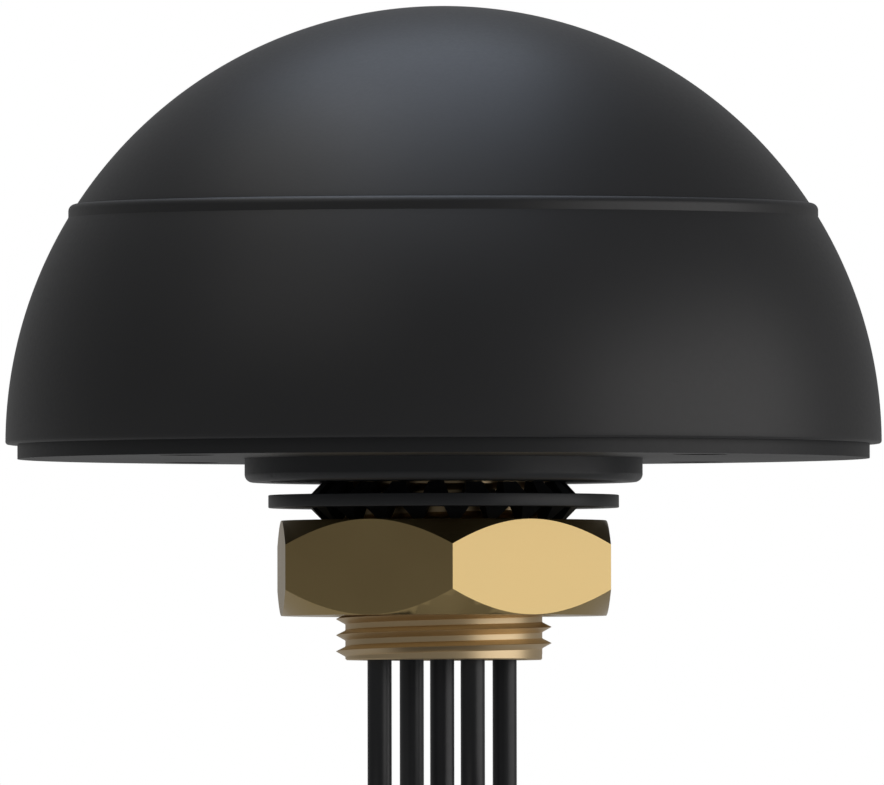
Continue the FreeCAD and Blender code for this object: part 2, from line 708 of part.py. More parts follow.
def gnss_bracket():
    """Folded sheet: two feet, two legs and a table with a window."""
    body = new_body("gnss_bracket")
    profile = new_sketch(body, "bracket_profile", "XZ_Plane")
    outer, sheet_thickness = BRACKET_SPAN, "bracket_sheet"
    inner = f"{outer} - {sheet_thickness}"
    under = f"{BRACKET_TOP} - {sheet_thickness}"
    inside_fold = f"bracket_fold - {sheet_thickness}"
    outline(profile, mirrored([
        (inner, BOARD_TOP),
        (f"{outer} + bracket_foot", BOARD_TOP),
        (f"{outer} + bracket_foot", f"{BOARD_TOP} + {sheet_thickness}"),
        (outer, f"{BOARD_TOP} + {sheet_thickness}"),
        (outer, f"{BRACKET_TOP} - bracket_fold", "bracket_fold", "left"),
        (f"{outer} - bracket_fold", BRACKET_TOP),
    ]))
    extrude("Pad", body, profile, f"2 * {BRACKET_DEPTH}", both_ways=True)
    tunnel = new_sketch(body, "bracket_tunnel", "XZ_Plane")
    outline(tunnel, mirrored([
        (inner, BOARD_TOP),
        (inner, f"{under} - ({inside_fold})", inside_fold, "left"),
        (f"{inner} - ({inside_fold})", under),
    ]))
    extrude("Pocket", body, tunnel, f"2 * {BRACKET_DEPTH}", both_ways=True)
    window = new_sketch(body, "bracket_window", "XY_Plane", lift=BRACKET_TOP)
    span = "(shield_length / 2 + window_end_margin)"
    depth = "(shield_width / 2 + window_side_margin)"
    rectangle(window, f"-{span}", span, f"-{depth}", depth)
    extrude("Pocket", body, window, sheet_thickness)
    legs = new_sketch(body, "bracket_leg_window", "YZ_Plane")
    rectangle(legs, "-leg_window_half_width", "leg_window_half_width",
              BOARD_TOP, f"{BOARD_TOP} + leg_window_height")
    extrude("Pocket", body, legs, f"4 * {BRACKET_SPAN}", both_ways=True)
    keep(body, "gnss_bracket")


def gnss_board():
    body = new_body("gnss_board")
    sketch = new_sketch(body, "gnss_board_outline", "XY_Plane", lift=BRACKET_TOP)
    half = "gnss_board_side / 2"
    rectangle(sketch, f"-{half}", half, f"-{half}", half)
    circle(sketch, "feed_pin_radius + feed_pin_clearance")
    extrude("Pad", body, sketch, "gnss_board_thickness")
    keep(body, "gnss_board")


def gnss_shield():
    """Pressed can that hangs under the receiver board, open toward it."""
    body = new_body("gnss_shield")
    outer = new_sketch(body, "shield_outer", "XY_Plane", lift=BRACKET_TOP)
    long_half, short_half = "shield_length / 2", "shield_width / 2"
    rectangle(outer, f"-{long_half}", long_half, f"-{short_half}", short_half)
    extrude("Pad", body, outer, "shield_height", reverse=True)
    inner = new_sketch(body, "shield_inner", "XY_Plane", lift=BRACKET_TOP)
    rectangle(inner, f"shield_wall - {long_half}", f"{long_half} - shield_wall",
              f"shield_wall - {short_half}", f"{short_half} - shield_wall")
    extrude("Pocket", body, inner, "shield_height - shield_wall")
    keep(body, "gnss_shield")


def gnss_patch():
    block = doc.addObject("Part::Box", "patch_block")
    for side in ("Length", "Width"):
        block.setExpression(side, bound("patch_side"))
    block.setExpression("Height", bound("patch_thickness"))
    place(block, "-patch_side / 2", "-patch_side / 2", GNSS_BOARD_TOP)
    hole = doc.addObject("Part::Cylinder", "patch_hole")
    hole.setExpression("Radius", bound("feed_pin_radius + feed_pin_clearance"))
    hole.setExpression("Height", bound("patch_thickness"))
    place(hole, z=GNSS_BOARD_TOP)
    patch = doc.addObject("Part::Cut", "gnss_patch")
    patch.Base, patch.Tool = block, hole
    keep(patch, "gnss_patch")


def gnss_feed_pin():
    pin_end = f"{BRACKET_TOP} - feed_pin_tail"
    turned_piece("gnss_feed_pin", [
        ("0", pin_end),
        ("feed_pin_radius", pin_end),
        ("feed_pin_radius", PATCH_TOP),
        ("feed_pin_head_radius", PATCH_TOP),
        ("feed_pin_head_radius", f"{PATCH_TOP} + feed_pin_head_height"),
        ("0", f"{PATCH_TOP} + feed_pin_head_height"),
    ])


def rounded_path(points, bend=None):
    """Straight runs joined by tangent arcs, and the radii of the arcs.

    Without a fixed bend, an arc is as large as the shorter of its two runs allows.
    """
    edges, radii, start = [], [], points[0]
    for before, corner, after in zip(points, points[1:], points[2:]):
        back, ahead = before - corner, after - corner
        half_turn = (math.pi - back.getAngle(ahead)) / 2
        setback = ARC_SHARE * min(back.Length, ahead.Length)
        radius = bend or setback / math.tan(half_turn)
        setback = radius * math.tan(half_turn)
        into = corner + back.normalize() * setback
        out_of = corner + ahead.normalize() * setback
        inward = (into + out_of) / 2 - corner
        reach = radius / math.cos(half_turn) - radius
        edges.append(Part.LineSegment(start, into).toShape())
        edges.append(Part.Arc(into, corner + inward.normalize() * reach, out_of).toShape())
        radii.append(radius)
        start = out_of
    edges.append(Part.LineSegment(start, points[-1]).toShape())
    return Part.Wire(edges), radii


def tube(points, radius, bend=None):
    path, radii = rounded_path(points, bend)
    section = Part.Wire(Part.Circle(points[0], points[1] - points[0], radius).toShape())
    return path.makePipeShell([section], True, False), path.Length, radii


def feature(name, shape):
    item = doc.addObject("Part::Feature", name)
    item.Shape = shape
    return keep(item, name)


def lead_point(number, z):
    x, y = lead_centre(number)
    return Vector(size(x), size(y), z)


def inner_leads():
    """Leads from the foot of the seal to the radiators' feeds and the receiver board."""
    foot, feed = size(SEAL_BOTTOM), size(f"{BOARD_TOP} + feed_height")
    low_face = size(BAND_OFFSET["low_band"] + " - blade_thickness / 2")
    high_face = size(BAND_OFFSET["high_band"] + " - blade_thickness / 2")
    ends = {1: ("x", -high_face), 2: ("y", low_face), 4: ("y", -low_face), 5: ("x", high_face)}
    tubes = []
    for number, (axis, reach) in ends.items():
        corner = lead_point(number, feed)
        finish = FreeCAD.Vector(corner)
        setattr(finish, axis, reach)
        route = [lead_point(number, foot), corner, finish]
        tubes.append(tube(route, size("lead_radius"), size("feed_bend"))[0])
    rise = lead_point(3, feed + size("gnss_lead_rise"))
    aside = rise + Vector(0, size("shield_width / 2 + gnss_lead_gap"), 0)
    top = Vector(aside.x, aside.y, size(BRACKET_TOP))
    route = [lead_point(3, foot), rise, aside, top]
    tubes.append(tube(route, size("lead_radius"), size("feed_bend"))[0])
    feature("inner_leads", Part.makeCompound(tubes))


def outer_lead(number):
    """The free lead: its hang from the seal to the coil, and its tail down to the plug."""
    radius = size("lead_radius")
    top = lead_point(number, size(SEAL_BOTTOM))
    hang = [top] + [Vector(top.x + x, top.y + y, z) for z, x, y in HANG_POINTS[number]]
    tail = [Vector(*point) for point in TAIL_POINTS[number]]
    for name, route in ((f"lead_{number}", hang), (f"lead_tail_{number}", tail)):
        shape, length, radii = tube(route, radius)
        expected = math.pi * radius ** 2 * length
        print(name, "length", round(length, 2), "radii", [round(r, 1) for r in radii],
              "volume ratio", round(shape.Volume / expected, 4))
        feature(name, shape)


def lay_on_side(body, turn="0"):
    """Stand a body's Z axis along Y at the coil's centre."""
    flat = Rotation(Vector(1, 0, 0), 90)
    spin = Rotation(Vector(0, 0, 1), size(turn))
    body.Placement = Placement(Vector(), flat * spin)
    body.setExpression("Placement.Base.z", bound("-coil_drop"))


def lead_coil():
    body = new_body("lead_coil")
    section = new_sketch(body, "coil_section", "XZ_Plane")
    inner, outer, half, soft = ("coil_inner_radius", "coil_outer_radius", "coil_half_width",
                                "coil_round")
    outline(section, [
        (f"{inner} + {soft}", f"-{half}"),
        (f"{outer} - {soft}", f"-{half}", soft, "left"),
        (outer, f"{soft} - {half}"),
        (outer, f"{half} - {soft}", soft, "left"),
        (f"{outer} - {soft}", half),
        (f"{inner} + {soft}", half, soft, "left"),
        (inner, f"{half} - {soft}"),
        (inner, f"{soft} - {half}", soft, "left"),
    ])
    turn_about("Revolution", body, section)
    lay_on_side(body)
    keep(body, "lead_coil")


def coil_ties():
    """Two straps round the coil's section, each with its lock on the outside."""
    body = new_body("coil_ties", several=True)
    strap = new_sketch(body, "tie_strap", "XZ_Plane")
    inner = "(coil_inner_radius - tie_clearance)"
    outer = "(coil_outer_radius + tie_clearance)"
    half = "(coil_half_width + tie_clearance)"
    rectangle(strap, inner, outer, f"-{half}", half)
    rectangle(strap, f"{inner} - tie_thickness", f"{outer} + tie_thickness",
              f"-{half} - tie_thickness", f"{half} + tie_thickness")
    strap_pad = extrude("Pad", body, strap, "tie_width", both_ways=True)
    lock = new_sketch(body, "tie_lock", "XZ_Plane")
    rectangle(lock, f"{outer} + tie_thickness / 2", f"{outer} + tie_head_height",
              "-tie_head_half_length", "tie_head_half_length")
    lock_pad = extrude("Pad", body, lock, "tie_head_width", both_ways=True)
    repeat_round(body, [strap_pad, lock_pad], "2", "tie_spread")
    lay_on_side(body, "tie_start")
    keep(body, "coil_ties")


def plug_mouth(number):
    """A plug's place: its mouth lies its own length below the end of the tail."""
    x, y, z = TAIL_POINTS[number][-1]
    return str(x), str(y), f"{z} - plug_length"


def plug_body(number):
    neck_top = "plug_body_bottom"
    turned_piece(f"plug_body_{number}", [
        ("plug_cavity_radius", "plug_barrel_bottom"),
        ("plug_barrel_radius", "plug_barrel_bottom"),
        ("plug_barrel_radius", "plug_flange_bottom"),
        ("plug_flange_radius", "plug_flange_bottom"),
        ("plug_flange_radius", "plug_flange_bottom + plug_flange_length"),
        ("plug_neck_radius", "plug_flange_bottom + plug_flange_length"),
        ("plug_neck_radius", neck_top),
        ("plug_body_radius", neck_top),
        ("plug_body_radius", "plug_length"),
        ("0", "plug_length"),
        ("0", "plug_cavity_top"),
        ("plug_cavity_radius", "plug_cavity_top"),
    ], plug_mouth(number))


def plug_nut(number):
    name = f"plug_nut_{number}"
    body = new_body(name)
    block = new_sketch(body, f"{name}_block", "XY_Plane")
    hexagon(block, "plug_flats")
    extrude("Pad", body, block, "plug_nut_length")
    start = "plug_flats / 2"
    cone_cut(body, f"{name}_upper_cone", start, "plug_nut_length", "1", "plug_flats / 8")
    cone_cut(body, f"{name}_lower_cone", start, "0", "-1", "plug_flats / 8")
    shoulder = "plug_nut_length - plug_nut_shoulder"
    neck = "plug_neck_radius + plug_running_clearance"
    hole = new_sketch(body, f"{name}_hole", "XZ_Plane")
    outline(hole, [
        ("0", "0"),
        ("plug_nut_bore + plug_nut_chamfer", "0"),
        ("plug_nut_bore", "plug_nut_chamfer"),
        ("plug_nut_bore", shoulder),
        (neck, shoulder),
        (neck, "plug_nut_length"),
        ("0", "plug_nut_length"),
    ])
    turn_about("Groove", body, hole)
    place(body, *plug_mouth(number))
    keep(body, name)


def plug_ferrule(number):
    turned_piece(f"plug_ferrule_{number}", [
        ("lead_radius + plug_fit_clearance", "plug_length"),
        ("ferrule_radius", "plug_length"),
        ("ferrule_radius", "plug_length + ferrule_length"),
        ("lead_radius + plug_fit_clearance", "plug_length + ferrule_length"),
    ], plug_mouth(number))


def plug_sleeve(number):
    """Shrunk sleeve that steps down from the ferrule to the lead."""
    ferrule_bore = "ferrule_radius + plug_fit_clearance"
    lead_bore = "lead_radius + plug_fit_clearance"
    step = "plug_length + ferrule_length"
    turned_piece(f"plug_sleeve_{number}", [
        (ferrule_bore, f"{step} - sleeve_overlap"),
        (f"{ferrule_bore} + sleeve_wall", f"{step} - sleeve_overlap"),
        (f"{ferrule_bore} + sleeve_wall", f"{step} + sleeve_wall"),
        (f"{lead_bore} + sleeve_wall", f"{step} + 3 * sleeve_wall"),
        (f"{lead_bore} + sleeve_wall", f"{step} - sleeve_overlap + sleeve_length"),
        (lead_bore, f"{step} - sleeve_overlap + sleeve_length"),
        (lead_bore, f"{step} + plug_fit_clearance"),
        (ferrule_bore, f"{step} + plug_fit_clearance"),
    ], plug_mouth(number))


def plug_cylinder(name, number, radius, bottom, top):
    x, y, mouth = plug_mouth(number)
    cylinder = doc.addObject("Part::Cylinder", f"{name}_{number}")
    cylinder.setExpression("Radius", bound(radius))
    cylinder.setExpression("Height", bound(f"{top} - {bottom}"))
    place(cylinder, x, y, f"{mouth} + {bottom}")
    return cylinder


def plug_contacts():
    group = doc.addObject("Part::Compound", "plug_contacts")
    group.Links = [plug_cylinder("contact", number, "contact_radius", "contact_bottom",
                                 "plug_cavity_top") for number in LEAD_NUMBERS]
    keep(group, "plug_contacts")


def plug_insulators():
    rings = []
    for number in LEAD_NUMBERS:
        bush = plug_cylinder("bush", number, "plug_cavity_radius - plug_fit_clearance",
                             "insulator_bottom", "plug_cavity_top")
        hole = plug_cylinder("bush_hole", number, "contact_radius + plug_fit_clearance",
                             "insulator_bottom", "plug_cavity_top")
        ring = doc.addObject("Part::Cut", f"insulator_{number}")
        ring.Base, ring.Tool = bush, hole
        rings.append(ring)
    group = doc.addObject("Part::Compound", "plug_insulators")
    group.Links = rings
    keep(group, "plug_insulators")


def build():
    dome_cap()
    dome_skirt()
    base_plate()
    base_seal()
    screw_group("base_screws", SCREW_CIRCLE, "base_bottom + counterbore_depth",
                "base_screw_grip", up=True, turn="45")
    threaded_stud()
    mounting_gasket()
    toothed_washer()
    hex_nut()
    lead_seal()
    ground_board()
    screw_group("board_screws", POST_CIRCLE, BOARD_TOP, "board_screw_grip", up=False, turn="0")
    radiator("low_band_radiator_1", "XZ_Plane", "low_band", True, y="-" + BAND_OFFSET["low_band"])
    radiator("low_band_radiator_2", "XZ_Plane", "low_band", True, y=BAND_OFFSET["low_band"])
    radiator("high_band_radiator_1", "YZ_Plane", "high_band", False, x="-" + BAND_OFFSET["high_band"])
    radiator("high_band_radiator_2", "YZ_Plane", "high_band", False, x=BAND_OFFSET["high_band"])
    gnss_bracket()
    gnss_board()
    gnss_shield()
    gnss_patch()
    gnss_feed_pin()
    inner_leads()
    lead_coil()
    coil_ties()
    for number in LEAD_NUMBERS:
        outer_lead(number)
        plug_sleeve(number)
        plug_ferrule(number)
        plug_body(number)
        plug_nut(number)
    plug_contacts()
    plug_insulators()


def check():
    """Stop if any object failed or any sub-part isn't a valid solid."""
    doc.recompute()
    for item in doc.Objects:
        if "Invalid" in item.State or "Error" in item.State:
            raise RuntimeError(f"{item.Label} failed: {item.State}")
    for item in nodes:
        if item.Shape.isNull() or not item.Shape.isValid() or not item.Shape.Solids:
            raise RuntimeError(f"{item.Label} is not a valid solid")


build()
check()
for item in nodes:
    item.Shape.exportStep(f"parts/{item.Label}.step")
    print(item.Label, "solids", len(item.Shape.Solids), "volume", round(item.Shape.Volume, 1))
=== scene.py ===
import json
import math

import bmesh
import bpy
from mathutils import Matrix, Vector


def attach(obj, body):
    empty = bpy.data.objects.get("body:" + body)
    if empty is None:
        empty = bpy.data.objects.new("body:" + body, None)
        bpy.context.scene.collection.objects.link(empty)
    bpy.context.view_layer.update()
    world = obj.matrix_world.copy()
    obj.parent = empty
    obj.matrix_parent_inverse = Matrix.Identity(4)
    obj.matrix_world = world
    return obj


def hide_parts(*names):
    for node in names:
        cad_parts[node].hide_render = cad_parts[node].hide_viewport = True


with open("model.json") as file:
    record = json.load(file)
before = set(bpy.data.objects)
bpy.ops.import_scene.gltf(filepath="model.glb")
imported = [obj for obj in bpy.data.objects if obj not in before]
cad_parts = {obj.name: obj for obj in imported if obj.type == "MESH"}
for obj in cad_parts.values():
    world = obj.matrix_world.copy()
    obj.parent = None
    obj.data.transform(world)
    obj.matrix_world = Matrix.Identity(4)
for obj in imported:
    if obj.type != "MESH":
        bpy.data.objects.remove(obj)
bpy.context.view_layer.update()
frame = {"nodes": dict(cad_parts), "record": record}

# Roof antenna with five coaxial leads. Metres, +Z up, the origin on the stud's axis in
# the plane where the mounting gasket meets the roof. Outlines are drawn in millimetres.

MM = 0.001

# Corners closer than this are one corner, in metres
JOIN_DISTANCE = 1e-7
CAD_JOIN_DISTANCE = 2e-7
THREAD_JOIN_DISTANCE = 1e-6

# Faces of a CAD node this close to one plane are one face, and edges sharper than this are
# broken, in degrees
FLAT_ANGLE = 0.6
SHARP_ANGLE = 30

nodes = frame["nodes"]
scene = bpy.context.scene
scene.view_settings.view_transform = "Standard"


# Camera

AIM = Vector((-0.205, 0.0, 8.345)) * MM
CAMERA_REACH = 2.737
CAMERA_RISE = math.radians(-1.0)
CAMERA_ROLL = math.radians(0.08)

lens = bpy.data.cameras.new("camera")
lens.lens = 1200
lens.sensor_width = 36
lens.clip_start = 0.5
lens.clip_end = 20
camera = bpy.data.objects.new("camera", lens)
camera.location = AIM + CAMERA_REACH * Vector((0, -math.cos(CAMERA_RISE), math.sin(CAMERA_RISE)))
camera.rotation_euler = (math.pi / 2 - CAMERA_RISE, CAMERA_ROLL, 0)
scene.collection.objects.link(camera)
scene.camera = camera


# Ways to make a piece

def add_piece(name, data):
    piece = bpy.data.objects.new(name, data)
    scene.collection.objects.link(piece)
    return piece


def finish_mesh(mesh, name, crease=35):
    """Close a mesh, point its faces outwards, shade it smooth up to a crease angle in degrees
    and make its piece."""
    bmesh.ops.remove_doubles(mesh, verts=mesh.verts, dist=JOIN_DISTANCE)
    bmesh.ops.recalc_face_normals(mesh, faces=mesh.faces)
    for face in mesh.faces:
        face.smooth = True
    for edge in mesh.edges:
        edge.smooth = not edge.is_manifold or edge.calc_face_angle() < math.radians(crease)
    data = bpy.data.meshes.new(name)
    mesh.to_mesh(data)
    mesh.free()
    return add_piece(name, data)


class Outline:
    """A section in the X-Z plane, drawn point by point in millimetres."""

    def __init__(self, radius, height):
        self.mesh = bmesh.new()
        self.start = self.tip = self.mesh.verts.new((radius * MM, 0, height * MM))

    def line(self, radius, height):
        fresh = self.mesh.verts.new((radius * MM, 0, height * MM))
        self.mesh.edges.new((self.tip, fresh))
        self.tip = fresh
        return self

    def arc(self, radius, height, degrees, steps):
        """Turn on about a centre. Positive degrees turn from +Z towards +X."""
        self.mesh.verts.index_update()
        turned = bmesh.ops.spin(self.mesh, geom=[self.tip], axis=(0, 1, 0), steps=steps,
                                cent=(radius * MM, 0, height * MM), angle=math.radians(degrees))
        self.tip = next(item for item in turned["geom_last"]
                        if isinstance(item, bmesh.types.BMVert))
        return self

    def close(self):
        self.mesh.edges.new((self.tip, self.start))
        return self

    def turn(self, steps):
        """Revolve the section about Z and give back the mesh."""
        bmesh.ops.spin(self.mesh, geom=self.mesh.verts[:] + self.mesh.edges[:], cent=(0, 0, 0),
                       axis=(0, 0, 1), angle=2 * math.pi, steps=steps, use_merge=True)
        return self.mesh


def merged_copy(node):
    """A CAD node's mesh with its corners joined and its flat faces whole."""
    mesh = bmesh.new()
    mesh.from_mesh(nodes[node].data)
    bmesh.ops.remove_doubles(mesh, verts=mesh.verts, dist=CAD_JOIN_DISTANCE)
    bmesh.ops.dissolve_limit(mesh, verts=mesh.verts, edges=mesh.edges,
                             angle_limit=math.radians(FLAT_ANGLE))
    return mesh


def break_edges(mesh, width):
    """Round every sharp edge by a width in millimetres."""
    sharp = [edge for edge in mesh.edges
             if edge.is_manifold and edge.calc_face_angle() > math.radians(SHARP_ANGLE)]
    bmesh.ops.bevel(mesh, geom=sharp, offset=width * MM, offset_type="OFFSET", affect="EDGES",
                    segments=2, profile=0.5, material=-1, clamp_overlap=True)
    return mesh


def join_into(mesh, extra):
    """Put a second closed form into a mesh."""
    bmesh.ops.recalc_face_normals(extra, faces=extra.faces)
    data = bpy.data.meshes.new("extra")
    extra.to_mesh(data)
    extra.free()
    mesh.from_mesh(data)
    bpy.data.meshes.remove(data)


def stand_for(piece, body, slot, *replaced):
    """The piece moves with a body and stands for CAD nodes. The slot is not used."""
    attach(piece, body)
    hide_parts(*replaced)


# Leads. Each is one spline: down from the stud, round the coil and down to its plug.
# The turns fill two columns, stepping inward in one and outward in the other.

# X and Y at which each lead hangs in the stud's bore
LEAD_TOPS = {1: (-5.9661, -2.8319), 2: (-2.9919, 5.8061), 3: (-0.16, 0.0),
             4: (2.6719, -5.8061), 5: (5.6461, 2.8319)}
LEAD_TOP_HEIGHT = -14.5

# Between stud and coil: height, and how far the lead has moved in X and in Y
HANG_POINTS = {
    1: [(-24.2, 0.0, 0.0), (-36.0, 0.0, -3.1), (-42.6, 2.9, -3.1), (-46.2, 7.3, -3.1)],
    2: [(-24.2, 0.0, 0.0), (-36.4, 0.0, 2.4), (-42.4, 2.2, 2.4), (-46.6, 6.4, 2.4)],
    3: [(-24.2, 0.0, 0.0), (-36.7, 0.0, -1.2), (-42.7, 1.6, -1.2), (-47.1, 5.5, -1.2)],
    4: [(-24.2, 0.0, 0.0), (-36.8, 0.0, -4.8), (-43.0, 1.2, -4.8), (-47.7, 4.6, -4.8)],
    5: [(-24.2, 0.0, 0.0), (-36.6, 0.0, 0.7), (-43.6, 0.9, 0.7), (-48.6, 3.8, 0.7)],
}

# From the coil to the plug
TAIL_POINTS = {
    1: [(10.5, -3.5, -87.5), (8.6, -4.3, -92.2), (8.1, -5.9, -101.0), (8.1, -6.0, -110.6),
        (8.1, -6.0, -121.0)],
    2: [(19.4, 10.6, -78.7), (19.1, 11.1, -89.4), (19.3, 11.9, -100.2), (19.3, 12.0, -111.2),
        (19.3, 12.0, -122.2)],
    3: [(19.4, 1.2, -78.7), (19.2, 0.7, -89.0), (19.3, 0.1, -99.2), (19.3, 0.0, -109.4),
        (19.3, 0.0, -119.4)],
    4: [(19.4, -8.2, -78.7), (19.1, -9.6, -89.8), (19.3, -11.9, -101.2), (19.3, -12.0, -112.2),
        (19.3, -12.0, -123.0)],
    5: [(10.5, 5.9, -87.5), (8.7, 5.8, -92.4), (8.1, 6.1, -101.4), (8.1, 6.0, -111.0),
        (8.1, 6.0, -121.6)],
}

# The middle of each lead's two columns in Y, and the angles in degrees at which it joins and
# leaves the coil
COIL_MIDDLE = {1: -4.7, 2: 9.4, 3: 0.0, 4: -9.4, 5: 4.7}
COIL_JOIN = {1: 75.5, 2: 70.7, 3: 65.8, 4: 60.8, 5: 55.0}
COIL_LEAVE = {1: -50.0, 2: -15.0, 3: -15.0, 4: -15.0, 5: -50.0}

COIL_TURNS = 7
TURNS_STEPPING_IN = (1, 2, 3)
TURNS_STEPPING_OUT = (4, 5, 6)
CROSSING_TURN = 3
STEP_DEGREES = 67.5
COIL_HEIGHT = -68.0
COIL_OUTER = 21.0
LAYER_SPACING = 2.3
HALF_COLUMN_SPACING = 1.175
POINTS_PER_TURN = 16
LEAD_DIAMETER = 2.25


def ease(position, start, end):
    """0 before start, 1 after end, even in between."""
    return min(max((position - start) / (end - start), 0.0), 1.0)


def coil_points(number):
    """Control points of the turns, in millimetres."""
    step = 360 / POINTS_PER_TURN
    last = COIL_TURNS * 360 + COIL_JOIN[number] - COIL_LEAVE[number]
    travel = 0.0
    points = []
    # A quadratic spline runs inside its control polygon, so the points stand further out
    overshoot = 1 / math.cos(math.radians(step / 2))
    while travel <= last:
        inward = sum(ease(travel, 360 * turn - STEP_DEGREES, 360 * turn)
                     for turn in TURNS_STEPPING_IN)
        outward = sum(ease(travel, 360 * turn + 2 * STEP_DEGREES, 360 * turn + 3 * STEP_DEGREES)
                      for turn in TURNS_STEPPING_OUT)
        across = ease(travel, 360 * CROSSING_TURN + 3 * STEP_DEGREES,
                      360 * CROSSING_TURN + 4 * STEP_DEGREES)
        radius = (COIL_OUTER - LAYER_SPACING * (inward - outward)) * overshoot
        angle = math.radians(COIL_JOIN[number] - travel)
        points.append((radius * math.cos(angle),
                       COIL_MIDDLE[number] + HALF_COLUMN_SPACING * (2 * across - 1),
                       COIL_HEIGHT + radius * math.sin(angle)))
        travel += step
    return points


def lead(number):
    """One lead along its points, which carry its radius."""
    x, y = LEAD_TOPS[number]
    points = [(x, y, LEAD_TOP_HEIGHT)]
    points += [(x + dx, y + dy, z) for z, dx, dy in HANG_POINTS[number]]
    points += coil_points(number) + TAIL_POINTS[number]
    curve = bpy.data.curves.new(f"coax_{number}", "CURVE")
    curve.dimensions = "3D"
    curve.bevel_depth = 1
    curve.bevel_resolution = 7
    curve.use_fill_caps = True
    spline = curve.splines.new("NURBS")
    spline.points.add(len(points) - 1)
    for place, point in zip(spline.points, points):
        place.co = (*(Vector(point) * MM), 1)
        place.radius = LEAD_DIAMETER / 2 * MM
    spline.order_u = 3
    spline.use_endpoint_u = True
    spline.resolution_u = 6
    spline.use_smooth = True
    return add_piece(f"coax_{number}", curve)


leads = {number: lead(number) for number in LEAD_TOPS}


# Dome

BALL_HEIGHT = 3.55
BALL_RADIUS = 40.7
BALL_INNER = 38.3
SEAM_HEIGHT = 24.6
BEAD_TOP = 25.86
ROUND_STEPS = 288
SCREW_CIRCLE = 33.4
SCREWS = 4
BASE_TOP = 6.4
BOSS_TOP = 13.0
BOSS_RADIUS = 3.0
BOSS_ROOF = 1.2
PILOT_RADIUS = 1.3
RIB_THICKNESS = 1.6
RIB_INTO_BOSS = 0.6
RIB_INTO_WALL = 0.4
RIB_START = SCREW_CIRCLE + BOSS_RADIUS - RIB_INTO_BOSS


def ball_radius(height):
    """The dome's radius at a height."""
    return math.sqrt(BALL_RADIUS ** 2 - (height - BALL_HEIGHT) ** 2)


def slope_at(height, radius=BALL_RADIUS):
    """Degrees from +Z to the place on the ball at a height."""
    return math.degrees(math.acos((height - BALL_HEIGHT) / radius))


LAP_LEDGE = 0.65
TONGUE_WALL = 1.8
TONGUE_DEPTH = 3.4
CAP_EDGE = ball_radius(BEAD_TOP)
LAP_RADIUS = CAP_EDGE - LAP_LEDGE
TONGUE_OUTER = LAP_RADIUS - 0.05
TONGUE_INNER = LAP_RADIUS - TONGUE_WALL


def cap_shell():
    """Upper moulding with the tongue that drops inside the lower one."""
    edge_round = 0.12
    edge_chamfer = 0.02
    bead_gap = 0.01
    inner_foot = BALL_HEIGHT + math.sqrt(BALL_INNER ** 2 - TONGUE_INNER ** 2)
    section = Outline(0, BALL_HEIGHT + BALL_RADIUS)
    section.arc(0, BALL_HEIGHT, slope_at(BEAD_TOP + edge_round), steps=72)
    section.line(CAP_EDGE - edge_chamfer, BEAD_TOP + edge_chamfer)
    section.line(TONGUE_OUTER, BEAD_TOP + bead_gap)
    section.line(TONGUE_OUTER, BEAD_TOP - TONGUE_DEPTH)
    section.line(TONGUE_INNER, BEAD_TOP - TONGUE_DEPTH)
    section.line(TONGUE_INNER, inner_foot)
    section.arc(0, BALL_HEIGHT, -slope_at(inner_foot, BALL_INNER), steps=48)
    return finish_mesh(section.turn(ROUND_STEPS), "cap_shell")


def skirt_shell():
    """Lower moulding: a bead at the seam, the lap that takes the tongue, and the screw bosses,
    each with a rib to the wall."""
    bead = ball_radius(SEAM_HEIGHT)
    bead_step = 0.1
    bead_round = 0.65
    lap_foot = BALL_HEIGHT + math.sqrt(BALL_INNER ** 2 - LAP_RADIUS ** 2)
    foot_round = 0.25
    section = Outline(BALL_RADIUS - foot_round, BALL_HEIGHT)
    section.arc(BALL_RADIUS - foot_round, BALL_HEIGHT + foot_round, -90, steps=4)
    section.arc(0, BALL_HEIGHT, slope_at(SEAM_HEIGHT - bead_step) - 90, steps=60)
    section.line(bead, SEAM_HEIGHT)
    section.line(bead, BEAD_TOP - bead_round)
    section.arc(bead - bead_round, BEAD_TOP - bead_round, -90, steps=8)
    section.line(LAP_RADIUS, BEAD_TOP)
    section.line(LAP_RADIUS, lap_foot)
    section.arc(0, BALL_HEIGHT, 90 - slope_at(lap_foot, BALL_INNER), steps=40)
    mesh = section.close().turn(ROUND_STEPS)
    for number in range(SCREWS):
        turned = Matrix.Rotation(math.radians(45 + 360 / SCREWS * number), 4, "Z")
        boss = Outline(PILOT_RADIUS, BASE_TOP)
        boss.line(BOSS_RADIUS, BASE_TOP).line(BOSS_RADIUS, BOSS_TOP).line(0, BOSS_TOP)
        boss.line(0, BOSS_TOP - BOSS_ROOF).line(PILOT_RADIUS, BOSS_TOP - BOSS_ROOF)
        boss.close().turn(steps=48)
        bmesh.ops.transform(boss.mesh, verts=boss.mesh.verts,
                            matrix=turned @ Matrix.Translation((SCREW_CIRCLE * MM, 0, 0)))
        rib = bmesh.new()
        length = BALL_INNER + RIB_INTO_WALL - RIB_START
        bmesh.ops.create_cube(rib, size=MM)
        bmesh.ops.scale(rib, verts=rib.verts, vec=(length, RIB_THICKNESS, BOSS_TOP - BASE_TOP))
        middle = Vector((RIB_START + length / 2, 0, (BOSS_TOP + BASE_TOP) / 2)) * MM
        bmesh.ops.transform(rib, verts=rib.verts, matrix=turned @ Matrix.Translation(middle))
        for extra in (boss.mesh, rib):
            join_into(mesh, extra)
    return finish_mesh(mesh, "skirt_shell")


cap = cap_shell()
skirt = skirt_shell()
stand_for(cap, "antenna", "dome_plastic", "dome_cap")
stand_for(skirt, "antenna", "dome_plastic", "dome_skirt")


# Toothed washer

